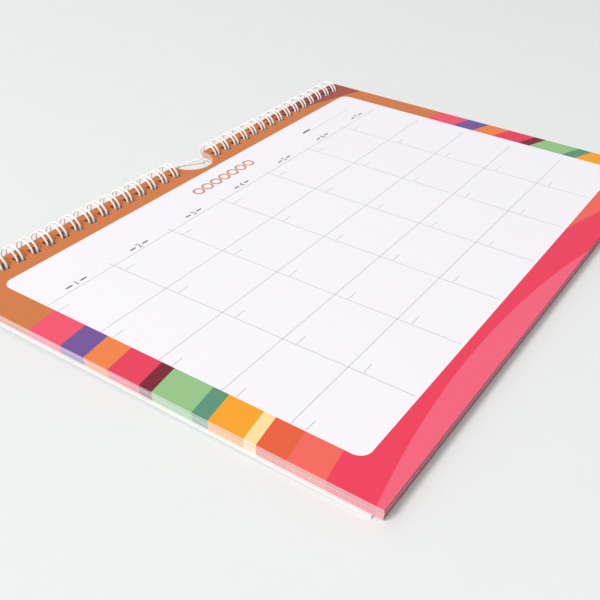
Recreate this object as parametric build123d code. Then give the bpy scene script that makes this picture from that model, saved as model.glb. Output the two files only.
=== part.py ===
from build123d import *
from math import asin, atan, cos, degrees, hypot, radians, sin, sqrt, tan
import os

# Monthly planner: a pad of A4 sheets and a backing card, bound along the long top edge
# by two lengths of twin-loop wire, with a wire hanger in the thumb cut between them.
# X runs along the bound edge, Y from the free edge to the bound edge, Z up.
# The pad is drawn with the card's underside at Z = 0, then tipped onto its rings.
# All sizes are in millimetres.

# Sheets: the pad is pressed at the binding and stands a little open at the free edge.
# It lies on the card at the free edge and a little above it at the binding, where the
# sheets hang in the loops: their strip needs that room to swing over the card.
sheet_width = 297.0
sheet_height = 210.0
pad_thickness_bound = 3.0
pad_thickness_free = 4.8
sheet_rise_at_binding = 0.5

# Backing card: wider than the sheets and short of their free edge
card_overhang_side = 0.9
card_short_of_free_edge = 4.0
card_thickness = 0.8

# Thumb cut through the sheets and the card, a part circle on the bound edge
thumb_cut_radius = 11.8
thumb_cut_x = 4.6
thumb_cut_centre_inset = 1.8

# Punching: three holes to the inch over the sheet's length, three pins left out
loop_pitch = 25.4 / 3
hole_places = 34
skipped_places = (16, 17, 18)
row_offset = -1.7
hole_width = 4.6
hole_length = 4.4

# Twin-loop wire
wire_diameter = 0.9
loop_radius = 5.5
twin_spacing = 2.65
loop_axis_inset = 2.6
loop_axis_height = 3.0
hole_clearance = 0.25
seam_angle = -60.0
seam_gap_angle = 16.0
loop_steps = 12
bend_length = 0.7
end_stub = 1.8

# Hanger: straight arms inside the loops, and a hook in the thumb cut
hanger_diameter = 1.2
hanger_clearance = 0.15
hanger_arm_length = 88.0
hook_height = 8.0
hook_flank_angle = 38.0
hook_tip_bend = 3.0
hook_base_bend = 1.5

# Places that follow from the sizes above
bound_edge = sheet_height / 2
free_edge = -sheet_height / 2
card_free_edge = free_edge + card_short_of_free_edge
wire_radius = wire_diameter / 2
hanger_radius = hanger_diameter / 2
loop_axis_y = bound_edge - loop_axis_inset
loop_axis_z = loop_axis_height
hole_free_side = loop_axis_y - loop_radius - wire_radius - hole_clearance
hole_y = hole_free_side + hole_length / 2
thumb_cut_y = bound_edge - thumb_cut_centre_inset
through_height = card_thickness + pad_thickness_free
pad_base_bound = card_thickness + sheet_rise_at_binding

# The card's free edge and the undersides of the loops stand on the table
card_to_loop_axis = loop_axis_y - card_free_edge
loop_outer_radius = loop_radius + wire_radius
reach = hypot(card_to_loop_axis, loop_axis_z)
rest_tilt = degrees(asin(loop_outer_radius / reach) - atan(loop_axis_z / card_to_loop_axis))

# The hanger's arms lie against the inside of the loops, just behind the card's edge
arm_y = bound_edge + hanger_radius + hanger_clearance
arm_orbit = loop_radius - wire_radius - hanger_radius - hanger_clearance / 2
arm_z = loop_axis_z - sqrt(arm_orbit**2 - (arm_y - loop_axis_y) ** 2)
arm_above_table = (arm_y - card_free_edge) * sin(radians(rest_tilt)) + arm_z * cos(radians(rest_tilt))
hook_droop = degrees(asin((arm_above_table - hanger_radius) / hook_height)) + rest_tilt


def place_x(place):
    """Middle of one punched place along the bound edge."""
    return row_offset + (place - (hole_places - 1) / 2) * loop_pitch


def punched_places():
    """Every place that is punched, from the left."""
    return [place for place in range(hole_places) if place not in skipped_places]


def left_places():
    return [place for place in punched_places() if place < skipped_places[0]]


def right_places():
    return [place for place in punched_places() if place > skipped_places[-1]]


def punch(stack):
    """Cut the row of holes and the thumb cut through a sheet stack."""
    hole = Box(hole_width, hole_length, 2 * through_height)
    holes = [Pos(place_x(place), hole_y) * hole for place in punched_places()]
    thumb_cut = Pos(thumb_cut_x, thumb_cut_y) * Cylinder(thumb_cut_radius, 2 * through_height)
    mouth = Box(2 * mouth_half_width(), 2 * thumb_cut_centre_inset, 2 * through_height)
    return stack - holes - thumb_cut - Pos(thumb_cut_x, bound_edge) * mouth


def mouth_half_width():
    """Half the width of the thumb cut where its sides meet the bound edge."""
    return sqrt(thumb_cut_radius**2 - thumb_cut_centre_inset**2)


def page_block():
    """All the sheets as one solid, with the slightly open free edge."""
    profile = Polyline(
        (free_edge, card_thickness),
        (bound_edge, pad_base_bound),
        (bound_edge, pad_base_bound + pad_thickness_bound),
        (free_edge, card_thickness + pad_thickness_free),
        close=True,
    )
    block = extrude(Plane.YZ * make_face(profile), sheet_width / 2, both=True)
    return punch(block)


def backing_board():
    """The white card under the sheets."""
    width = sheet_width + 2 * card_overhang_side
    depth = bound_edge - card_free_edge
    outline = Pos(0, (bound_edge + card_free_edge) / 2) * Rectangle(width, depth)
    return punch(extrude(outline, card_thickness))


def on_loop(x, angle):
    """A point on the loops' centre line, at an angle from the outward side."""
    y = loop_axis_y + loop_radius * cos(radians(angle))
    z = loop_axis_z + loop_radius * sin(radians(angle))
    return (x, y, z)


def finger(x):
    """Centre line of one closed finger: round the loop, across the tip and back."""
    tip_angle = seam_angle - 360 + seam_gap_angle
    bend_angle = degrees(bend_length / loop_radius)
    root = seam_angle - bend_angle
    tip = tip_angle + bend_angle
    half = twin_spacing / 2
    step = (tip - root) / loop_steps
    outward = [on_loop(x - half, root + step * count) for count in range(loop_steps + 1)]
    across = [on_loop(x - half + bend_length, tip_angle), on_loop(x + half - bend_length, tip_angle)]
    back = [on_loop(x + half, tip - step * count) for count in range(loop_steps + 1)]
    return outward + across + back


def wire_comb(places):
    """One length of twin-loop wire: fingers joined by short links along the seam."""
    half = twin_spacing / 2
    points = [on_loop(place_x(places[0]) - half - end_stub, seam_angle)]
    for place in places:
        x = place_x(place)
        points.append(on_loop(x - half - bend_length, seam_angle))
        points += finger(x)
        points.append(on_loop(x + half + bend_length, seam_angle))
    points.append(on_loop(place_x(places[-1]) + half + end_stub, seam_angle))
    section = Plane(origin=points[0], z_dir=(1, 0, 0)) * RegularPolygon(wire_radius, 6)
    return sweep(section, path=Polyline(*points), transition=Transition.RIGHT)


def hanger_wire():
    """One bent wire: two arms and the hook, with the hook's tip down on the table."""
    peak = hook_height + hook_tip_bend * (1 / cos(radians(hook_flank_angle)) - 1)
    hook_half_width = peak / tan(radians(hook_flank_angle))
    reach_x = hook_half_width + hanger_arm_length
    outline = FilletPolyline(
        (-reach_x, 0, 0),
        (-hook_half_width, 0, 0),
        (0, peak, 0),
        (hook_half_width, 0, 0),
        (reach_x, 0, 0),
        radius=(hook_base_bend, hook_tip_bend, hook_base_bend),
    )
    section = Plane(origin=(-reach_x, 0, 0), z_dir=(1, 0, 0)) * Circle(hanger_radius)
    wire = sweep(section, path=outline)
    return Pos(thumb_cut_x, arm_y, arm_z) * Rot(X=-hook_droop) * wire


def on_the_table(shape):
    """Tip the pad so that the card's free edge and the loops stand on the table."""
    return Rot(X=rest_tilt) * Pos(0, -card_free_edge, 0) * shape


def middle_of_footprint(shapes):
    """Middle of the underside of the box around all the pieces."""
    boxes = [shape.bounding_box() for shape in shapes]
    middle_x = (min(box.min.X for box in boxes) + max(box.max.X for box in boxes)) / 2
    middle_y = (min(box.min.Y for box in boxes) + max(box.max.Y for box in boxes)) / 2
    return (middle_x, middle_y, min(box.min.Z for box in boxes))


def planner():
    """Every piece by name, resting on the table over the origin."""
    pieces = {
        "page_block": page_block(),
        "backing_board": backing_board(),
        "binding_wire_left": wire_comb(left_places()),
        "binding_wire_right": wire_comb(right_places()),
        "hanger_wire": hanger_wire(),
    }
    resting = {name: on_the_table(shape) for name, shape in pieces.items()}
    x, y, z = middle_of_footprint(resting.values())
    return {name: Pos(-x, -y, -z) * shape for name, shape in resting.items()}


if __name__ == "__main__":
    os.makedirs("parts", exist_ok=True)
    for name, shape in planner().items():
        shape.label = name
        export_step(shape, f"parts/{name}.step")
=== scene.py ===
"""Monthly planner pad with twin-loop binding, dressed for rendering.

Laid out as a Blender add-on and run as a script. The pieces are modelled flat, in the
pad's own frame (the card's underside at Z = 0, the sheets' middle at Y = 0, millimetres),
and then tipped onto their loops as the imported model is.
"""

import math
from types import SimpleNamespace

import bpy
from mathutils import Matrix, Vector


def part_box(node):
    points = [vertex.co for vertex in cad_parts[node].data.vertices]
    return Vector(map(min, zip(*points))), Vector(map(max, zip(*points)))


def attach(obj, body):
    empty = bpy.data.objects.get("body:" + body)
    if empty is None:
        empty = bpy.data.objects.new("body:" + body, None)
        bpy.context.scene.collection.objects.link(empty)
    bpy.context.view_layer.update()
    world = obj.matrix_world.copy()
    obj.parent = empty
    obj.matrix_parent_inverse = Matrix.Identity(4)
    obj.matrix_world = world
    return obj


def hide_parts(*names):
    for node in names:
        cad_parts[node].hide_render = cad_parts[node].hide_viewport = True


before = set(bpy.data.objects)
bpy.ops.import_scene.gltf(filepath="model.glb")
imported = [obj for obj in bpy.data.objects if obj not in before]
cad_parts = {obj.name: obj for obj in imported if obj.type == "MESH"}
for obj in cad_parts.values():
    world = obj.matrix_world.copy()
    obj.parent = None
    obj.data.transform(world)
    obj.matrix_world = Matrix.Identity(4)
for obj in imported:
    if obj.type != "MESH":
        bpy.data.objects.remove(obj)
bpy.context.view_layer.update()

bl_info = {
    "name": "Monthly planner",
    "version": (1, 0, 0),
    "blender": (4, 5, 0),
    "location": "View3D > Sidebar > Planner",
    "description": "Builds a wire-bound monthly planner pad over its packed model",
    "category": "Object",
}

MM = 0.001

# Where the picture was taken from, in the row's frame
CAMERA_PLACE = (-0.312559, -0.188692, 0.206678)
CAMERA_AZIMUTH, CAMERA_ELEVATION, CAMERA_ROLL = -57.944, 34.319, 1.824
FOCAL_PIXELS, PICTURE_PIXELS, CENTRE_SHIFT_PIXELS = 856.306, 600.0, 26.3
SENSOR_WIDTH = 36.0

# The punch's places along the bound edge; three pins are left out for the thumb cut
PUNCH_PLACES = 34
LEFT_PLACES, RIGHT_PLACES = range(0, 16), range(19, PUNCH_PLACES)


def linear(hex_colour):
    """The linear colour of an sRGB hex value such as '#F8A528'."""
    parts = [int(hex_colour[i : i + 2], 16) / 255 for i in (1, 3, 5)]
    return tuple(p / 12.92 if p <= 0.04045 else ((p + 0.055) / 1.055) ** 2.4 for p in parts)


def length(name, description, default):
    """A length setting: its default is given in millimetres and kept in metres."""
    return bpy.props.FloatProperty(
        name=name, description=description, default=default * MM, unit="LENGTH", precision=5
    )


def colour(name, description, hex_colour):
    """A colour setting, kept linear."""
    return bpy.props.FloatVectorProperty(
        name=name, description=description, default=linear(hex_colour), size=3, subtype="COLOR"
    )


class PlannerSizes(bpy.types.PropertyGroup):
    """Sizes of the planner's pieces."""

    sheet_width: length("Sheet width", "Long side of the sheets", 297.0)
    sheet_height: length("Sheet height", "Short side of the sheets", 210.0)
    sheet_thickness: length("Sheet thickness", "Thickness of the printed top sheet", 0.12)
    pad_bound: length("Pad at the binding", "Thickness of the sheets at the binding", 3.0)
    pad_free: length("Pad at the free edge", "Thickness of the sheets at the free edge", 4.8)
    pad_rise: length("Rise at the binding", "Air between card and sheets at the binding", 0.5)
    card_thickness: length("Card thickness", "Thickness of the backing card", 0.8)
    card_free_edge: length("Card's free edge", "Y of the card's free edge", -101.0)
    cut_radius: length("Thumb cut radius", "Radius of the thumb cut", 11.8)
    cut_x: length("Thumb cut place", "X of the thumb cut's middle", 4.6)
    cut_inset: length("Thumb cut inset", "Thumb cut's centre from the bound edge", 1.8)
    pitch: length("Loop pitch", "Distance from loop to loop", 25.4 / 3)
    row_offset: length("Row offset", "X of the middle of the punched row", -1.7)
    hole_width: length("Hole width", "Punched hole along the binding", 4.2)
    hole_shift: length("Hole shift", "How far the holes lie along the binding from the loops", 0.2)
    hole_length: length("Hole length", "Punched hole across the binding", 5.7)
    hole_near: length("Hole's near side", "Y of the holes' side towards the free edge", 94.9)
    wire: length("Binding wire", "Diameter of the binding wire", 0.9)
    coat: length("Wire coat", "Thickness of the nylon coat on the binding wire", 0.05)
    loop_radius: length("Loop radius", "Radius of the loops to the wire's middle", 5.5)
    loop_y: length("Loop axis Y", "Y of the loops' axis", 102.4)
    loop_z: length("Loop axis Z", "Z of the loops' axis", 3.0)
    twin: length("Twin spacing", "Distance between a loop's two wires", 2.65)
    bend: length("Bend radius", "Radius of the wire's small bends", 0.7)
    stub: length("End stub", "Link beyond the last loop", 1.8)
    hanger: length("Hanger wire", "Diameter of the hanger's wire", 1.2)
    hanger_gap: length("Hanger gap", "Clearance of the hanger", 0.15)
    hanger_arm: length("Hanger arm", "Length of each hanger arm", 88.0)
    hook_height: length("Hook height", "Height of the hook", 8.0)
    hook_tip: length("Hook tip radius", "Bend radius of the hook's tip", 3.0)
    hook_base: length("Hook base radius", "Bend radius of the hook's feet", 1.5)
    grid_left: length("Grid's left line", "X of the month grid's left end", -133.41)
    column: length("Column width", "Width of one day's column", 37.634)
    grid_top: length("Grid's top line", "Y of the month grid's first row line", 60.89)
    row: length("Row height", "Height of one week's row", 29.986)


class PlannerColours(bpy.types.PropertyGroup):
    """Colours of the planner's pieces."""

    paper: colour("Paper", "White of the sheets", "#F8F6FA")
    card: colour("Card", "White of the backing card", "#F3F3F2")
    coating: colour("Wire coating", "White of the coated wires", "#FDFCFA")
    grid: colour("Grid ink", "Grey of the month grid", "#B2AEB2")
    numerals: colour("Numeral ink", "Dark grey of the numerals", "#4A474C")
    ornament: colour("Ornament ink", "Terracotta of the heading ornament", "#D2845E")
    floor: colour("Floor", "Pale table", "#ECEEED")


# ---------------------------------------------------------------- shared modelling helpers


def sizes():
    """The size settings, in millimetres."""
    group = bpy.context.scene.planner_sizes
    return SimpleNamespace(**{key: getattr(group, key) / MM for key in group.__annotations__})


def colours():
    """The colour settings."""
    return bpy.context.scene.planner_colours


def deselect():
    """Leave edit mode with nothing selected."""
    if bpy.context.object and bpy.context.object.mode != "OBJECT":
        bpy.ops.object.mode_set(mode="OBJECT")
    bpy.ops.object.select_all(action="DESELECT")


def pick(obj):
    """Leave edit mode with one object selected and active."""
    deselect()
    obj.select_set(True)
    bpy.context.view_layer.objects.active = obj


def edit_all():
    """Enter edit mode with the whole mesh selected."""
    bpy.ops.object.mode_set(mode="EDIT")
    bpy.ops.mesh.select_all(action="SELECT")


def extrude(offset):
    """Extrude what is selected by an offset in millimetres."""
    bpy.ops.mesh.extrude_region_move(TRANSFORM_OT_translate={"value": Vector(offset) * MM})


def apply_place(obj):
    """Put an object's place, turn and size into its mesh."""
    pick(obj)
    bpy.ops.object.transform_apply(location=True, rotation=True, scale=True)


def box(name, low, high):
    """A box between two corners, in millimetres."""
    deselect()
    middle = [(a + b) / 2 * MM for a, b in zip(low, high)]
    size = [(b - a) * MM for a, b in zip(low, high)]
    bpy.ops.mesh.primitive_cube_add(size=1, location=middle, scale=size)
    obj = bpy.context.object
    obj.name = obj.data.name = name
    apply_place(obj)
    return obj


def join(name, objects):
    """Join objects into one named mesh."""
    deselect()
    for obj in objects:
        obj.select_set(True)
    bpy.context.view_layer.objects.active = objects[0]
    if len(objects) > 1:
        bpy.ops.object.join()
    objects[0].name = objects[0].data.name = name
    return objects[0]


def copy(obj, name, offset):
    """A copy with a mesh of its own, moved by an offset in millimetres."""
    twin = obj.copy()
    twin.data = obj.data.copy()
    twin.name = twin.data.name = name
    bpy.context.collection.objects.link(twin)
    twin.data.transform(Matrix.Translation(Vector(offset) * MM))
    return twin


def modify(obj, kind, **settings):
    """Add a modifier and apply it."""
    pick(obj)
    modifier = obj.modifiers.new(kind.title(), kind)
    for key, value in settings.items():
        setattr(modifier, key, value)
    bpy.ops.object.modifier_apply(modifier=modifier.name)


def tidy_mesh(obj, smooth_degrees=None):
    """Merge doubles, point the faces outwards and set the shading."""
    pick(obj)
    edit_all()
    bpy.ops.mesh.remove_doubles(threshold=0.005 * MM)
    bpy.ops.mesh.normals_make_consistent(inside=False)
    bpy.ops.object.mode_set(mode="OBJECT")
    if smooth_degrees is None:
        bpy.ops.object.shade_flat()
    else:
        bpy.ops.object.shade_smooth_by_angle(angle=math.radians(smooth_degrees))


def span(obj, axis):
    """The least and the greatest place of an object's vertices along an axis."""
    places = [vertex.co[axis] for vertex in obj.data.vertices]
    return min(places), max(places)


def rest_tilt():
    """How far the pad is tipped, standing on the card's free edge and the loops."""
    s = sizes()
    across = s.loop_y - s.card_free_edge
    reach = math.hypot(across, s.loop_z)
    return math.asin((s.loop_radius + s.wire / 2) / reach) - math.atan(s.loop_z / across)


def pad_to_row():
    """The move from the pad's own frame to the row's frame, in metres."""
    s = sizes()
    tilt = rest_tilt()
    edge_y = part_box("backing_board")[0][1] + s.card_thickness * MM * math.sin(tilt)
    to_edge = Matrix.Translation((0, -s.card_free_edge * MM, 0))
    return Matrix.Translation((0, edge_y, 0)) @ Matrix.Rotation(tilt, 4, "X") @ to_edge


def finish_piece(obj, body, slot, *nodes):
    """Tip a finished piece onto the table, and say what it rides on and replaces."""
    obj.data.transform(pad_to_row())
    obj.data.update()
    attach(obj, body)
    if nodes:
        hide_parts(*nodes)


def place_x(place):
    """X of the middle of one of the punch's places."""
    s = sizes()
    return s.row_offset + (place - (PUNCH_PLACES - 1) / 2) * s.pitch


def pad_top(y):
    """Height of the pad's top face at a place across the pad."""
    s = sizes()
    free = s.card_thickness + s.pad_free
    bound = s.card_thickness + s.pad_rise + s.pad_bound
    return bound + (free - bound) * (0.5 - y / s.sheet_height)


def pad_base(y):
    """Height of the pad's underside at a place across the pad."""
    s = sizes()
    return s.card_thickness + s.pad_rise * (0.5 + y / s.sheet_height)


# ---------------------------------------------------------------- materials


def node(tree, kind, inputs=(), **settings):
    """Add a node with its settings, and fill its inputs with values or links."""
    made = tree.nodes.new(kind)
    for key, value in settings.items():
        setattr(made, key, value)
    for key, value in dict(inputs).items():
        if isinstance(value, bpy.types.NodeSocket):
            tree.links.new(value, made.inputs[key])
        else:
            made.inputs[key].default_value = value
    return made


def new_material(name):
    """A node material with only its main shader and output."""
    material = bpy.data.materials.new(name)
    material.use_nodes = True
    tree = material.node_tree
    tree.nodes.clear()
    shader = node(tree, "ShaderNodeBsdfPrincipled")
    node(tree, "ShaderNodeOutputMaterial", {0: shader.outputs[0]})
    return material, tree, shader


def millimetres(tree):
    """The place on the piece in the sheet's own millimetres, X and Y from its middle."""
    place = node(tree, "ShaderNodeTexCoord").outputs["Object"]
    middle_y = (pad_to_row() @ Vector((0, 0, pad_top(0) * MM)))[1] / MM
    inputs = {"Vector": place, "Scale": (1 / MM, 1 / MM, 1 / MM), "Location": (0, -middle_y, 0)}
    return node(tree, "ShaderNodeMapping", inputs).outputs[0]


# The border is a set of concentric arcs: where each starts, in mm from their centre, and its colour
ARC_CENTRE = (-60.0, -560.0, 0.0)
ARC_START, ARC_END = 440.0, 700.0
ARCS = (
    (440, "#F4647C"),
    (466, "#EE3F5C"),
    (484, "#F26A5C"),
    (499, "#E8603C"),
    (512, "#FFE0A0"),
    (517, "#F8A528"),
    (532, "#5A9478"),
    (539, "#96C488"),
    (557, "#7A2030"),
    (563, "#E8405C"),
    (579, "#F08448"),
    (591, "#73559B"),
    (603, "#F2556E"),
    (620, "#D27B45"),
    (676, "#A85040"),
)


def border_colour(tree, place):
    """Offset-printed arcs of flat colour over the whole sheet."""
    flat = node(tree, "ShaderNodeVectorMath", {0: place, 1: (1, 1, 0)}, operation="MULTIPLY")
    reach = node(
        tree, "ShaderNodeVectorMath", {0: flat.outputs[0], 1: ARC_CENTRE}, operation="DISTANCE"
    )
    share = node(
        tree,
        "ShaderNodeMapRange",
        {"Value": reach.outputs["Value"], "From Min": ARC_START, "From Max": ARC_END},
    ).outputs[0]
    ramp = node(tree, "ShaderNodeValToRGB", {"Fac": share})
    ramp.color_ramp.interpolation = "CONSTANT"
    stops = ramp.color_ramp.elements
    for i, (start, hex_colour) in enumerate(ARCS):
        position = (start - ARC_START) / (ARC_END - ARC_START)
        stop = stops[i] if i < 2 else stops.new(position)  # a new ramp has two stops
        stop.position, stop.color = position, (*linear(hex_colour), 1)
    return ramp.outputs["Color"]


# The white panel: its middle, half its sides and its corners' radius, in mm
PANEL_MIDDLE = (0.75, -0.5, 0.0)
PANEL_HALF_X, PANEL_HALF_Y, PANEL_CORNER = 134.25, 88.5, 5.0


def panel_mask(tree, place):
    """1 inside the white panel with its rounded corners, 0 on the border."""
    steps = (
        ("MULTIPLY", (1, 1, 0)),
        ("SUBTRACT", PANEL_MIDDLE),
        ("ABSOLUTE", (0, 0, 0)),
        ("SUBTRACT", (PANEL_HALF_X - PANEL_CORNER, PANEL_HALF_Y - PANEL_CORNER, 0)),
        ("MAXIMUM", (0, 0, 0)),
    )
    for operation, value in steps:
        made = node(tree, "ShaderNodeVectorMath", {0: place, 1: value}, operation=operation)
        place = made.outputs[0]
    far = node(tree, "ShaderNodeVectorMath", {0: place}, operation="LENGTH").outputs["Value"]
    return node(tree, "ShaderNodeMath", {0: far, 1: PANEL_CORNER}, operation="LESS_THAN").outputs[0]


# Noise keeps near its middle: the span of its values that is spread over a full range
NOISE_SPAN = {"From Min": 0.3, "From Max": 0.7}


def fibre(tree, place, size_mm, detail=3.0):
    """Soft noise with features of a given size."""
    inputs = {"Vector": place, "Scale": 1.0 / size_mm, "Detail": detail}
    return node(tree, "ShaderNodeTexNoise", inputs).outputs["Fac"]


def toned(tree, base, grain, low, high):
    """A colour, given as a value or a link, darkened a little by a grain."""
    inputs = {"Value": grain, **NOISE_SPAN, "To Min": low, "To Max": high}
    tone = node(tree, "ShaderNodeMapRange", inputs).outputs[0]
    return node(tree, "ShaderNodeVectorMath", {0: base, 3: tone}, operation="SCALE").outputs[0]


def roughened(tree, shader, grain, low, high, height_mm):
    """Roughness and bump from one grain."""
    inputs = {"Value": grain, **NOISE_SPAN, "To Min": low, "To Max": high}
    rough = node(tree, "ShaderNodeMapRange", inputs)
    tree.links.new(rough.outputs[0], shader.inputs["Roughness"])
    bump = node(tree, "ShaderNodeBump", {"Height": grain, "Distance": height_mm * MM})
    tree.links.new(bump.outputs[0], shader.inputs["Normal"])


def printed_paper():
    """Uncoated offset paper, printed: matt, with a fibre that barely breaks the light.

    The real fibre is about 0.05 mm; it is drawn at 0.35 mm so that it shows at all.
    """
    material, tree, shader = new_material("uncoated_paper_offset_printed")
    place = millimetres(tree)
    inputs = {
        "Factor": panel_mask(tree, place),
        "A": border_colour(tree, place),
        "B": (*colours().paper, 1),
    }
    mix = node(tree, "ShaderNodeMix", inputs, data_type="RGBA")
    grain = fibre(tree, place, 0.35)
    tone = toned(tree, mix.outputs["Result"], grain, 0.975, 1.0)
    tree.links.new(tone, shader.inputs["Base Color"])
    roughened(tree, shader, grain, 0.62, 0.78, 0.01)
    shader.inputs["IOR"].default_value = 1.45
    shader.inputs["Specular IOR Level"].default_value = 0.35
    return material


def unprinted_paper():
    """The unprinted back of the last sheet: the same paper, with no ink to smooth its fibre."""
    material, tree, shader = new_material("uncoated_paper_unprinted")
    grain = fibre(tree, millimetres(tree), 0.35)
    tone = toned(tree, colours().paper, grain, 0.97, 1.0)
    tree.links.new(tone, shader.inputs["Base Color"])
    roughened(tree, shader, grain, 0.68, 0.84, 0.012)
    shader.inputs["Specular IOR Level"].default_value = 0.3
    return material


def cut_edges(name, stain, shade=1.0):
    """Cut paper edges, streaked sheet by sheet, each sheet stained by the print that runs off it.

    Each sheet is 0.12 mm thick; the streaks are drawn at 0.3 mm so that they show. A shade below 1
    scales the whole colour down: painted shade for edges that the light reaches less.
    """
    material, tree, shader = new_material(name)
    place = millimetres(tree)
    layers = node(tree, "ShaderNodeMapping", {"Vector": place, "Scale": (0.03, 0.03, 3.3)})
    streak = fibre(tree, layers.outputs[0], 1.0)
    stains = {"From Min": 0.35, "From Max": 0.65, "To Min": stain - 0.1, "To Max": stain + 0.1}
    share = node(tree, "ShaderNodeMapRange", {"Value": streak, **stains})
    inputs = {
        "Factor": share.outputs[0],
        "A": (*colours().paper, 1),
        "B": border_colour(tree, place),
    }
    mix = node(tree, "ShaderNodeMix", inputs, data_type="RGBA")
    # painted shade: the streaked colour is scaled down by shade
    tone = toned(tree, mix.outputs["Result"], streak, 0.9 * shade, shade)
    tree.links.new(tone, shader.inputs["Base Color"])
    roughened(tree, shader, streak, 0.75, 0.9, 0.05)
    shader.inputs["Specular IOR Level"].default_value = 0.2
    return material


def printing_ink(name, base):
    """Offset ink soaked into paper: matt, a little uneven where the fibre takes less ink."""
    material, tree, shader = new_material(name)
    grain = fibre(tree, millimetres(tree), 0.5)
    tree.links.new(toned(tree, base, grain, 0.9, 1.05), shader.inputs["Base Color"])
    roughened(tree, shader, grain, 0.6, 0.75, 0.004)
    shader.inputs["Specular IOR Level"].default_value = 0.3
    return material


def lined_card():
    """White-lined chipboard, die-cut: a smooth liner with a faint mottle of the board below."""
    material, tree, shader = new_material("white_lined_chipboard_die_cut")
    grain = fibre(tree, millimetres(tree), 1.6, 5.0)
    tree.links.new(toned(tree, colours().card, grain, 0.95, 1.0), shader.inputs["Base Color"])
    roughened(tree, shader, grain, 0.5, 0.66, 0.02)
    shader.inputs["Specular IOR Level"].default_value = 0.4
    return material


def coated_wire(name):
    """Steel wire with a white coat: smooth and glossy, with the coat's slight orange peel.

    The real orange peel is about as coarse as it is drawn, 0.8 mm.
    """
    material, tree, shader = new_material(name)
    grain = fibre(tree, millimetres(tree), 0.8, 2.0)
    tree.links.new(toned(tree, colours().coating, grain, 0.96, 1.0), shader.inputs["Base Color"])
    roughened(tree, shader, grain, 0.22, 0.34, 0.01)
    shader.inputs["IOR"].default_value = 1.5
    shader.inputs["Coat Weight"].default_value = 0.1
    shader.inputs["Coat Roughness"].default_value = 0.12
    return material


def set_material(obj, *materials):
    """Give an object these materials and no others."""
    obj.data.materials.clear()
    for material in materials:
        obj.data.materials.append(material)


# ---------------------------------------------------------------- sheets


# Heights between which the cutting bodies stand, and the rounding of the punch's pins, in mm
CUT_LOW, CUT_HIGH = -5, 15
PIN_CORNER = 0.35

# The runs of sheets under the top one: where each starts and ends as a share of the thickness,
# the gap over it at the free edge, and how far its edges are pulled in, in mm
SLABS = (
    ("slab_low", 0.0, 0.36, 0.42, 0.12),
    ("slab_middle", 0.36, 0.7, 0.42, 0.0),
    ("slab_high", 0.7, 1.0, 0.02, 0.06),
)

# The share of a gap that is left at the pad's middle, and what it loses from there to the binding
GAP_MIDDLE, GAP_SLOPE = 0.64, 0.36

# The core that closes the gaps from within, in the same way, and where it ends short of the holes;
# its material is coloured dark as painted shade in the gaps
CORE = ("slab_core", 0.02, 0.98, 0.0, 0.25)
CORE_END = 90.0

# The sheets' materials, by what made a face; the free edge and the punched edges also carry painted
# shade
SIDE_CUT, FREE_EDGE_PAINTED_SHADE, PUNCHED_PAINTED_SHADE, OWN_FACE, PRINTED_FACE = range(5)

# How near to the outline, and to a hole or the thumb cut, a face's middle is that belongs to it
NEAR_OUTLINE, NEAR_HOLE = 0.5, 1.0


def punch_pins():
    """The punch's pins, as one cutting body."""
    s = sizes()
    near, far = s.hole_near, s.hole_near + s.hole_length
    half = s.hole_width / 2
    pin = box("pin", (s.hole_shift - half, near, CUT_LOW), (s.hole_shift + half, far, CUT_HIGH))
    pick(pin)
    bpy.ops.object.mode_set(mode="EDIT")
    bpy.ops.mesh.select_all(action="DESELECT")
    bpy.ops.object.mode_set(mode="OBJECT")
    for edge in pin.data.edges:
        a, b = (pin.data.vertices[v].co for v in edge.vertices)
        edge.select = abs(a.z - b.z) > MM
    bpy.ops.object.mode_set(mode="EDIT")
    bpy.ops.mesh.bevel(offset=PIN_CORNER * MM, segments=3)
    bpy.ops.object.mode_set(mode="OBJECT")
    places = (*LEFT_PLACES, *RIGHT_PLACES)
    pins = [copy(pin, "pin_copy", (place_x(place), 0, 0)) for place in places]
    bpy.data.objects.remove(pin)
    return join("punch_pins", pins)


def thumb_cutter():
    """The thumb cut's circle, which passes the bound edge, pushed through the pad."""
    s = sizes()
    deselect()
    middle = (s.cut_x, s.sheet_height / 2 - s.cut_inset, CUT_LOW)
    bpy.ops.mesh.primitive_circle_add(
        vertices=96, radius=s.cut_radius * MM, fill_type="NGON", location=Vector(middle) * MM
    )
    cutter = bpy.context.object
    apply_place(cutter)
    edit_all()
    extrude((0, 0, CUT_HIGH - CUT_LOW))
    bpy.ops.mesh.select_all(action="SELECT")
    bpy.ops.mesh.normals_make_consistent(inside=False)
    bpy.ops.object.mode_set(mode="OBJECT")
    cutter.name = "thumb_cutter"
    return cutter


def cut(obj, cutter):
    """Cut one body out of a piece."""
    modify(obj, "BOOLEAN", object=cutter, operation="DIFFERENCE", solver="EXACT")


def slab(name, low_share, high_share, gap, inset):
    """A run of sheets between two shares of the pad's thickness, its edges pulled in a little.

    Its upper face is lowered to leave a gap under the next run.
    """
    s = sizes()
    half_x, half_y = s.sheet_width / 2 - inset, s.sheet_height / 2 - inset
    obj = box(name, (-half_x, -half_y, 0), (half_x, half_y, 1))
    for vertex in obj.data.vertices:
        y = vertex.co.y / MM
        base, top = pad_base(y), pad_top(y) - s.sheet_thickness
        if vertex.co.z > 0.5 * MM:
            lowered = gap * (GAP_MIDDLE - GAP_SLOPE * y / half_y)
            height = base + (top - base) * high_share - lowered
        else:
            height = base + (top - base) * low_share
        vertex.co.z = height * MM
    return obj


def slab_core():
    """The run of sheets seen in the gaps: set back from the edges, ended short of the holes."""
    core = slab(*CORE)
    fall = pad_top(0) - pad_top(1)
    for vertex in core.data.vertices:
        if vertex.co.y > 0:
            if vertex.co.z > pad_top(0) / 2 * MM:
                vertex.co.z += (vertex.co.y - CORE_END * MM) * fall
            vertex.co.y = CORE_END * MM
    return core


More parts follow.
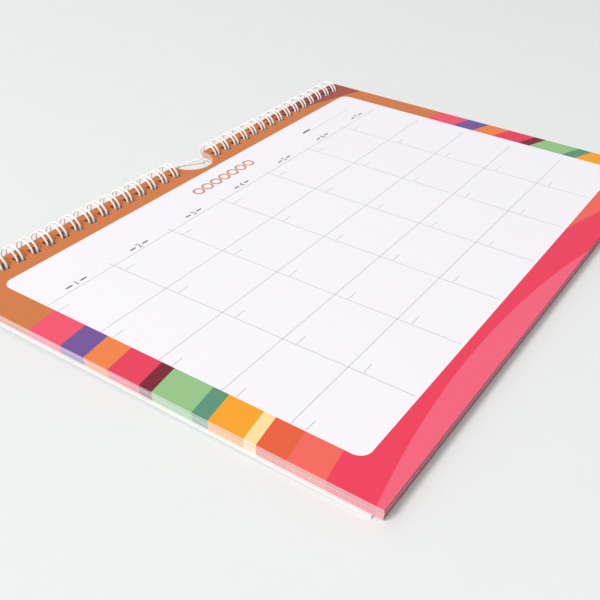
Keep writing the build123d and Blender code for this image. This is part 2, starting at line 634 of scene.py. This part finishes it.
def top_sheet():
    """The printed sheet that lies on the pad."""
    s = sizes()
    half_x, half_y = s.sheet_width / 2, s.sheet_height / 2
    sheet = box("top_sheet", (-half_x, -half_y, 0), (half_x, half_y, 1))
    for vertex in sheet.data.vertices:
        drop = 0 if vertex.co.z > 0.5 * MM else s.sheet_thickness
        vertex.co.z = (pad_top(vertex.co.y / MM) - drop) * MM
    return sheet


def made_by(polygon):
    """What made one of the sheets' faces, as the number of its material."""
    s = sizes()
    if abs(polygon.normal.z) > 0.5:
        return OWN_FACE
    x, y = polygon.center.x / MM, polygon.center.y / MM
    half_x, half_y = s.sheet_width / 2 - NEAR_OUTLINE, s.sheet_height / 2 - NEAR_OUTLINE
    if y < -half_y:
        return FREE_EDGE_PAINTED_SHADE
    in_thumb_cut = abs(x - s.cut_x) < s.cut_radius + NEAR_HOLE
    if abs(x) >= half_x or y >= half_y or in_thumb_cut or y <= s.hole_near - NEAR_HOLE:
        return SIDE_CUT
    return PUNCHED_PAINTED_SHADE


class PLANNER_OT_sheets(bpy.types.Operator):
    """Build the pad of sheets with its punched holes and the printed top sheet"""

    bl_idname = "planner.sheets"
    bl_label = "Sheets"

    def execute(self, context):
        pins, thumb = punch_pins(), thumb_cutter()
        core = slab_core()
        slabs = [slab(*run) for run in SLABS]
        top = top_sheet()
        for piece in (*slabs, top):
            cut(piece, pins)
            cut(piece, thumb)
            tidy_mesh(piece, 20)
        bpy.data.objects.remove(pins)
        bpy.data.objects.remove(thumb)
        tidy_mesh(core)
        # painted shade: the core keeps the print's tint but is darkened, so the gaps between the
        # runs look shaded
        set_material(core, cut_edges("uncoated_paper_bleed_tint_painted_shade", 0.9, 0.2))
        faces = (
            cut_edges("uncoated_paper_guillotined_sides", 0.65),
            # painted shade: the fore edge, which faces away from the lamp, is darkened, with a
            # deeper ink stain as well
            cut_edges("uncoated_paper_fore_edge_stain_painted_shade", 0.8, 0.45),
            # painted shade: the punched edges are darkened for the shade inside the holes
            cut_edges("uncoated_paper_punched_edges_painted_shade", 0.7, 0.55),
            unprinted_paper(),
        )
        for piece in slabs:
            set_material(piece, *faces)
        set_material(top, *faces, printed_paper())
        for piece in (*slabs, top):
            for polygon in piece.data.polygons:
                polygon.material_index = made_by(polygon)
        for polygon in top.data.polygons:
            if polygon.normal.z > 0.5:
                polygon.material_index = PRINTED_FACE
        stack = join("sheet_stack", [*slabs, core])
        finish_piece(stack, "pages", "sheet_paper", "page_block")
        finish_piece(top, "pages", "sheet_paper", "page_block")
        return {"FINISHED"}


# ---------------------------------------------------------------- print on the top sheet


# How far the ink's mesh stands above the sheet and reaches into it
INK_RISE, INK_DEPTH = 0.012, 0.02

# Half the width of the grid's lines, and where the lines between the days start and end
HALF_LINE = 0.13
DAY_LINE_LOW, DAY_LINE_HIGH = -87.5, 64.0

# The week lines stop this far short of the grid's right end
WEEK_LINE_SHORT = 2.0

# The short line in each day: how far under the week line, how long, how far in from the left
DATE_DROP, DATE_LENGTH, DATE_INSET, FIRST_DATE_INSET = 6.3, 6.0, 0.5, 0.1

# The day's numeral, and the dashes beside it, measured from the column's middle
NUMERAL_Y, NUMERAL_HEIGHT = 63.9, 3.3
DASH_NEAR, DASH_FAR, DASH_LOW, DASH_HIGH = 2.2, 5.6, 63.5, 64.3

# The bar and the rule in place of the month's label: X from and to, Y from and to
LABEL_BAR, LABEL_RULE = (70.5, 77.5, 74.6, 75.8), (79.0, 118.0, 73.7, 73.95)

# The rings in place of the title
RINGS, RING_STEP, RING_Y, RING_RADIUS, RING_STROKE = 7, 6.8, 76.5, 3.2, 1.05


def lay_ink(obj, middle=0.5):
    """Lay a flat mesh on the top sheet: its upper side a hair proud, its lower side just in it."""
    for vertex in obj.data.vertices:
        rise = INK_RISE if vertex.co.z > middle * MM else -INK_DEPTH
        vertex.co.z = (pad_top(vertex.co.y / MM) + rise) * MM
    return obj


def ink_bar(x0, x1, y0, y1):
    """A printed bar on the top sheet."""
    return lay_ink(box("bar", (x0, y0, 0), (x1, y1, 1)))


def numeral(text, x, y, height):
    """A plain numeral, its middle at a place on the sheet, as a flat mesh."""
    deselect()
    bpy.ops.object.text_add(location=(0, 0, 0))
    obj = bpy.context.object
    obj.data.body = text
    obj.data.align_x, obj.data.align_y = "CENTER", "CENTER"
    obj.data.size = height * MM
    obj.data.extrude = 0.01 * MM
    bpy.ops.object.convert(target="MESH")
    obj = bpy.context.object
    left, right = span(obj, 0)
    low, high = span(obj, 1)
    scale = height * MM / (high - low)
    for vertex in obj.data.vertices:
        vertex.co.x = (vertex.co.x - (left + right) / 2) * scale + x * MM
        vertex.co.y = (vertex.co.y - (low + high) / 2) * scale + y * MM
    return lay_ink(obj, 0.0)


def ring_mark(x, y, radius, stroke):
    """One outlined ring of the heading ornament."""
    deselect()
    bpy.ops.mesh.primitive_circle_add(
        vertices=40, radius=radius * MM, fill_type="NGON", location=Vector((x, y, 0)) * MM
    )
    obj = bpy.context.object
    apply_place(obj)
    edit_all()
    bpy.ops.mesh.inset(thickness=stroke * MM)
    bpy.ops.mesh.delete(type="FACE")
    bpy.ops.mesh.select_all(action="SELECT")
    extrude((0, 0, 1))
    bpy.ops.object.mode_set(mode="OBJECT")
    return lay_ink(obj)


class PLANNER_OT_print(bpy.types.Operator):
    """Print the month grid, the day numerals and the heading ornament on the top sheet"""

    bl_idname = "planner.print"
    bl_label = "Print"

    def execute(self, context):
        s = sizes()
        columns = [s.grid_left + i * s.column for i in range(8)]
        bars = [
            ink_bar(x - HALF_LINE, x + HALF_LINE, DAY_LINE_LOW, DAY_LINE_HIGH)
            for x in columns[1:-1]
        ]
        for week in range(5):
            y = s.grid_top - week * s.row
            end = columns[-1] - WEEK_LINE_SHORT
            bars.append(ink_bar(columns[0], end, y - HALF_LINE, y + HALF_LINE))
            y -= DATE_DROP
            for day, left in enumerate(columns[:-1]):
                x = left + (DATE_INSET if day else FIRST_DATE_INSET)
                bars.append(ink_bar(x, x + DATE_LENGTH, y - HALF_LINE, y + HALF_LINE))
        bars.append(ink_bar(*LABEL_RULE))
        grid = join("grid_lines", bars)
        tidy_mesh(grid)
        set_material(grid, printing_ink("offset_ink_grey", colours().grid))
        marks = []
        for day, left in enumerate(columns[:-1]):
            x = left + s.column / 2
            marks.append(numeral(str(day + 1), x, NUMERAL_Y, NUMERAL_HEIGHT))
            marks.append(ink_bar(x - DASH_FAR, x - DASH_NEAR, DASH_LOW, DASH_HIGH))
            marks.append(ink_bar(x + DASH_NEAR, x + DASH_FAR, DASH_LOW, DASH_HIGH))
        marks.append(ink_bar(*LABEL_BAR))
        numerals = join("day_numerals", marks)
        tidy_mesh(numerals)
        set_material(numerals, printing_ink("offset_ink_dark_grey", colours().numerals))
        rings = [
            ring_mark((i - (RINGS - 1) / 2) * RING_STEP, RING_Y, RING_RADIUS, RING_STROKE)
            for i in range(RINGS)
        ]
        ornament = join("heading_ornament", rings)
        tidy_mesh(ornament)
        set_material(ornament, printing_ink("offset_ink_terracotta", colours().ornament))
        for piece in (grid, numerals, ornament):
            finish_piece(piece, "pages", "sheet_paper")
        return {"FINISHED"}


# ---------------------------------------------------------------- card


class PLANNER_OT_card(bpy.types.Operator):
    """Give the backing card its white liner"""

    bl_idname = "planner.card"
    bl_label = "Backing card"

    def execute(self, context):
        set_material(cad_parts["backing_board"], lined_card())
        return {"FINISHED"}


# ---------------------------------------------------------------- wires


# The loops' seam: its angle from the outward side, and the gap at which the loops are closed
SEAM_ANGLE, SEAM_GAP = -60.0, 16.0
BEND_STEPS, LOOP_STEPS = 5, 44

# The trimmed ends of the links: how far they are rounded, and by what share they get thinner
END_ROUND, END_TAPER = 0.15, 0.35

# The slope of the hook's flanks, and the steps of its feet and its tip
FLANK_ANGLE, FOOT_STEPS, TIP_STEPS = 38.0, 6, 8


def start_wire(name, place, diameter, sides):
    """The open end of a wire: a circle across X at a place in millimetres, ready in edit mode."""
    deselect()
    bpy.ops.mesh.primitive_circle_add(
        vertices=sides,
        radius=diameter / 2 * MM,
        location=Vector(place) * MM,
        rotation=(0, math.pi / 2, 0),
    )
    obj = bpy.context.object
    obj.name = obj.data.name = name
    apply_place(obj)
    edit_all()
    return obj


def turn_on(centre, axis, degrees, steps):
    """Carry the wire's open end round a centre; a positive turn is right-handed about the axis."""
    bpy.ops.mesh.spin(
        steps=steps, angle=-math.radians(degrees), center=Vector(centre) * MM, axis=axis
    )


def on_loop(angle):
    """Y and Z on the loops' centre line, at an angle from the outward side."""
    s = sizes()
    turn = math.radians(angle)
    return s.loop_y + s.loop_radius * math.cos(turn), s.loop_z + s.loop_radius * math.sin(turn)


def one_loop():
    """One closed loop with its two half links, in the middle of the pitch at X = 0.

    Its left half is bent, from the link over the loop to the tip, and mirrored.
    """
    s = sizes()
    half, bend = s.twin / 2, s.bend
    y, z = on_loop(SEAM_ANGLE)
    wire = start_wire("loop", (-s.pitch / 2, y, z), s.wire + 2 * s.coat, 12)
    extrude((s.pitch / 2 - half - bend, 0, 0))
    seam = math.radians(SEAM_ANGLE)
    outward = Vector((0, math.cos(seam), math.sin(seam)))
    along = Vector((0, math.sin(seam), -math.cos(seam)))
    corner = Vector((-half - bend, y, z)) + along * bend
    turn_on(corner, outward, 90, BEND_STEPS)
    bend_angle = math.degrees(bend / s.loop_radius)
    arc = 360.0 - SEAM_GAP - 2 * bend_angle
    turn_on((0, s.loop_y, s.loop_z), (1, 0, 0), -arc, LOOP_STEPS)
    tip = math.radians(SEAM_ANGLE - bend_angle - arc)
    radial = Vector((0, math.cos(tip), math.sin(tip)))
    reach = math.hypot(s.loop_radius, bend)
    end = Vector((-half, s.loop_y, s.loop_z)) + radial * reach
    turn_on(end + Vector((bend, 0, 0)), radial, -90, BEND_STEPS)
    extrude((half - bend, 0, 0))
    bpy.ops.object.mode_set(mode="OBJECT")
    modify(wire, "MIRROR", use_axis=(True, False, False), use_clip=True, merge_threshold=0.02 * MM)
    return wire


def wire_comb(name, places):
    """One length of twin-loop wire: copies of the loop, its end links cut to stubs and closed."""
    s = sizes()
    loop = one_loop()
    modify(
        loop,
        "ARRAY",
        count=len(places),
        use_relative_offset=False,
        use_constant_offset=True,
        constant_offset_displace=(s.pitch * MM, 0, 0),
        use_merge_vertices=True,
        merge_threshold=0.02 * MM,
    )
    loop.data.transform(Matrix.Translation((place_x(places[0]) * MM, 0, 0)))
    trim = s.pitch / 2 - s.twin / 2 - s.stub
    middle_y, middle_z = on_loop(SEAM_ANGLE)
    for end, way in zip(span(loop, 0), (1, -1)):
        pick(loop)
        bpy.ops.object.mode_set(mode="EDIT")
        bpy.ops.mesh.select_mode(type="VERT")
        bpy.ops.mesh.select_all(action="DESELECT")
        bpy.ops.object.mode_set(mode="OBJECT")
        for vertex in loop.data.vertices:
            vertex.select = abs(vertex.co.x - end) < 0.01 * MM
        bpy.ops.object.mode_set(mode="EDIT")
        bpy.ops.transform.translate(value=(way * (trim + END_ROUND) * MM, 0, 0))
        extrude((-way * END_ROUND, 0, 0))
        bpy.ops.object.mode_set(mode="OBJECT")
        for vertex in loop.data.vertices:
            if vertex.select:
                vertex.co.y += (middle_y * MM - vertex.co.y) * END_TAPER
                vertex.co.z += (middle_z * MM - vertex.co.z) * END_TAPER
        bpy.ops.object.mode_set(mode="EDIT")
        bpy.ops.mesh.edge_face_add()
        bpy.ops.object.mode_set(mode="OBJECT")
    loop.name = loop.data.name = name
    tidy_mesh(loop, 50)
    return loop


class PLANNER_OT_binding_wires(bpy.types.Operator):
    """Build the two lengths of white twin-loop wire"""

    bl_idname = "planner.binding_wires"
    bl_label = "Binding wires"

    def execute(self, context):
        coat = coated_wire("steel_wire_white_nylon_coated")
        for name, places, cad in (
            ("twin_loops_left", LEFT_PLACES, "binding_wire_left"),
            ("twin_loops_right", RIGHT_PLACES, "binding_wire_right"),
        ):
            comb = wire_comb(name, places)
            set_material(comb, coat)
            finish_piece(comb, "binding", "binding_wire", cad)
        return {"FINISHED"}


def hanger_place():
    """Y and Z of the hanger's arms, and the droop of its hook in radians."""
    s = sizes()
    wire, hanger = s.wire / 2, s.hanger / 2
    arm_y = s.sheet_height / 2 + hanger + s.hanger_gap
    orbit = s.loop_radius - wire - hanger - s.hanger_gap / 2
    arm_z = s.loop_z - math.sqrt(orbit**2 - (arm_y - s.loop_y) ** 2)
    tilt = rest_tilt()
    above = (arm_y - s.card_free_edge) * math.sin(tilt) + arm_z * math.cos(tilt)
    return arm_y, arm_z, math.asin((above - hanger) / s.hook_height) + tilt


class PLANNER_OT_hanger(bpy.types.Operator):
    """Build the bent wire hanger with its hook in the thumb cut"""

    bl_idname = "planner.hanger"
    bl_label = "Hanger"

    def execute(self, context):
        """Bend the left arm and half of the hook, mirror them and put them in the loops"""
        s = sizes()
        flank = math.radians(FLANK_ANGLE)
        peak = s.hook_height + s.hook_tip * (1 / math.cos(flank) - 1)
        half = peak / math.tan(flank)
        foot = s.hook_base * math.tan(flank / 2)
        top = s.hook_tip * math.tan(flank)
        wire = start_wire("hanger", (-half - s.hanger_arm, 0, 0), s.hanger, 16)
        extrude((s.hanger_arm - foot, 0, 0))
        turn_on((-half - foot, s.hook_base, 0), (0, 0, 1), FLANK_ANGLE, FOOT_STEPS)
        side = peak / math.sin(flank) - foot - top
        extrude((side * math.cos(flank), side * math.sin(flank), 0))
        crown = peak - s.hook_tip / math.cos(flank)
        turn_on((0, crown, 0), (0, 0, 1), -FLANK_ANGLE, TIP_STEPS)
        bpy.ops.object.mode_set(mode="OBJECT")
        for vertex in wire.data.vertices:
            if vertex.select:
                vertex.co.x = 0.0
        modify(
            wire, "MIRROR", use_axis=(True, False, False), use_clip=True, merge_threshold=0.03 * MM
        )
        pick(wire)
        bpy.ops.object.mode_set(mode="EDIT")
        bpy.ops.mesh.select_all(action="DESELECT")
        bpy.ops.mesh.select_mode(type="EDGE")
        bpy.ops.mesh.select_non_manifold()
        bpy.ops.mesh.fill_holes(sides=0)
        bpy.ops.object.mode_set(mode="OBJECT")
        arm_y, arm_z, droop = hanger_place()
        wire.data.transform(Matrix.Rotation(-droop, 4, "X"))
        wire.data.transform(Matrix.Translation(Vector((s.cut_x, arm_y, arm_z)) * MM))
        tidy_mesh(wire, 50)
        wire.name = wire.data.name = "hanger_hook_wire"
        set_material(wire, coated_wire("steel_wire_white_enamelled"))
        finish_piece(wire, "hanger", "hanger_wire", "hanger_wire")
        return {"FINISHED"}


# ---------------------------------------------------------------- stage


# The table, in metres, and the window's lamp, in metres and watts
FLOOR_SIZE, FLOOR_LEVEL = 12.0, -0.0002
LAMP_PLACE, LAMP_SIZE, LAMP_POWER = (-2.5, 0.7, 2.6), 1.1, 86.0

# The room's brightness where it lights the table, and where it is seen or mirrored
ROOM_LIGHT, ROOM_SEEN = 0.56, 0.84


def background_paper():
    """Pale matt paper under the planner, its colour barely mottled."""
    material, tree, shader = new_material("matt_background_paper")
    place = node(tree, "ShaderNodeTexCoord").outputs["Object"]
    inputs = {"Vector": place, "Scale": 60.0, "Detail": 4.0}
    grain = node(tree, "ShaderNodeTexNoise", inputs).outputs["Fac"]
    tree.links.new(toned(tree, colours().floor, grain, 0.99, 1.0), shader.inputs["Base Color"])
    shader.inputs["Roughness"].default_value = 0.9
    shader.inputs["Specular IOR Level"].default_value = 0.1
    return material


class PLANNER_OT_stage(bpy.types.Operator):
    """Set up the pale table, the soft light and the camera"""

    bl_idname = "planner.stage"
    bl_label = "Stage"

    def execute(self, context):
        deselect()
        bpy.ops.mesh.primitive_plane_add(size=FLOOR_SIZE, location=(0, 0, FLOOR_LEVEL))
        floor = bpy.context.object
        floor.name = "table_floor"
        apply_place(floor)
        set_material(floor, background_paper())
        self.add_room(context)
        self.add_lamp()
        self.add_camera(context)
        context.scene.view_settings.view_transform = "Standard"
        return {"FINISHED"}

    def add_room(self, context):
        """The soft light of a white room, brighter to the eye than it is on the table"""
        world = bpy.data.worlds.new("soft_room")
        world.use_nodes = True
        tree = world.node_tree
        background = tree.nodes["Background"]
        background.inputs["Color"].default_value = (1.0, 1.0, 1.0, 1)
        rays = node(tree, "ShaderNodeLightPath").outputs
        seen = rays["Is Camera Ray"]
        for kind in ("Is Glossy Ray", "Is Transmission Ray"):
            either = node(tree, "ShaderNodeMath", {0: seen, 1: rays[kind]}, operation="MAXIMUM")
            seen = either.outputs[0]
        inputs = {"Value": seen, "To Min": ROOM_LIGHT, "To Max": ROOM_SEEN}
        level = node(tree, "ShaderNodeMapRange", inputs)
        tree.links.new(level.outputs[0], background.inputs["Strength"])
        context.scene.world = world

    def add_lamp(self):
        """A soft square lamp in place of the window, aimed at the planner"""
        deselect()
        bpy.ops.object.light_add(type="AREA", location=LAMP_PLACE)
        lamp = bpy.context.object
        lamp.name = "window_lamp"
        lamp.data.shape = "SQUARE"
        lamp.data.size = LAMP_SIZE
        lamp.data.energy = LAMP_POWER
        lamp.rotation_euler = (-Vector(LAMP_PLACE)).to_track_quat("-Z", "Y").to_euler()

    def add_camera(self, context):
        """The camera that took the picture"""
        deselect()
        azimuth, elevation = math.radians(CAMERA_AZIMUTH), math.radians(CAMERA_ELEVATION)
        bpy.ops.object.camera_add(location=CAMERA_PLACE)
        camera = bpy.context.object
        camera.name = "photo_camera"
        level = Matrix.Rotation(azimuth, 4, "Z") @ Matrix.Rotation(math.pi / 2 - elevation, 4, "X")
        rolled = level @ Matrix.Rotation(math.radians(CAMERA_ROLL), 4, "Z")
        camera.matrix_world = Matrix.Translation(CAMERA_PLACE) @ rolled
        camera.data.sensor_fit = "HORIZONTAL"
        camera.data.sensor_width = SENSOR_WIDTH
        camera.data.lens = FOCAL_PIXELS / PICTURE_PIXELS * SENSOR_WIDTH
        camera.data.shift_x = -CENTRE_SHIFT_PIXELS / PICTURE_PIXELS
        camera.data.clip_start, camera.data.clip_end = 0.01, 30.0
        context.scene.camera = camera


# ---------------------------------------------------------------- add-on


class PLANNER_PT_panel(bpy.types.Panel):
    """Lists the planner's pieces in the sidebar"""

    bl_label = "Monthly planner"
    bl_idname = "PLANNER_PT_panel"
    bl_space_type = "VIEW_3D"
    bl_region_type = "UI"
    bl_category = "Planner"

    def draw(self, context):
        for operator in OPERATORS:
            self.layout.operator(operator.bl_idname)
        for group in (context.scene.planner_sizes, context.scene.planner_colours):
            for key in group.__annotations__:
                self.layout.prop(group, key)


OPERATORS = (
    PLANNER_OT_sheets,
    PLANNER_OT_print,
    PLANNER_OT_card,
    PLANNER_OT_binding_wires,
    PLANNER_OT_hanger,
    PLANNER_OT_stage,
)
CLASSES = (PlannerSizes, PlannerColours, *OPERATORS, PLANNER_PT_panel)


def register():
    """Register the classes and hang the settings on the scene."""
    for cls in CLASSES:
        bpy.utils.register_class(cls)
    bpy.types.Scene.planner_sizes = bpy.props.PointerProperty(type=PlannerSizes)
    bpy.types.Scene.planner_colours = bpy.props.PointerProperty(type=PlannerColours)


def unregister():
    """Take the settings and the classes away again."""
    del bpy.types.Scene.planner_colours
    del bpy.types.Scene.planner_sizes
    for cls in reversed(CLASSES):
        bpy.utils.unregister_class(cls)


def main():
    """Build every piece and the stage."""
    register()
    bpy.ops.planner.sheets()
    bpy.ops.planner.print()
    bpy.ops.planner.card()
    bpy.ops.planner.binding_wires()
    bpy.ops.planner.hanger()
    bpy.ops.planner.stage()


if __name__ == "__main__":
    main()
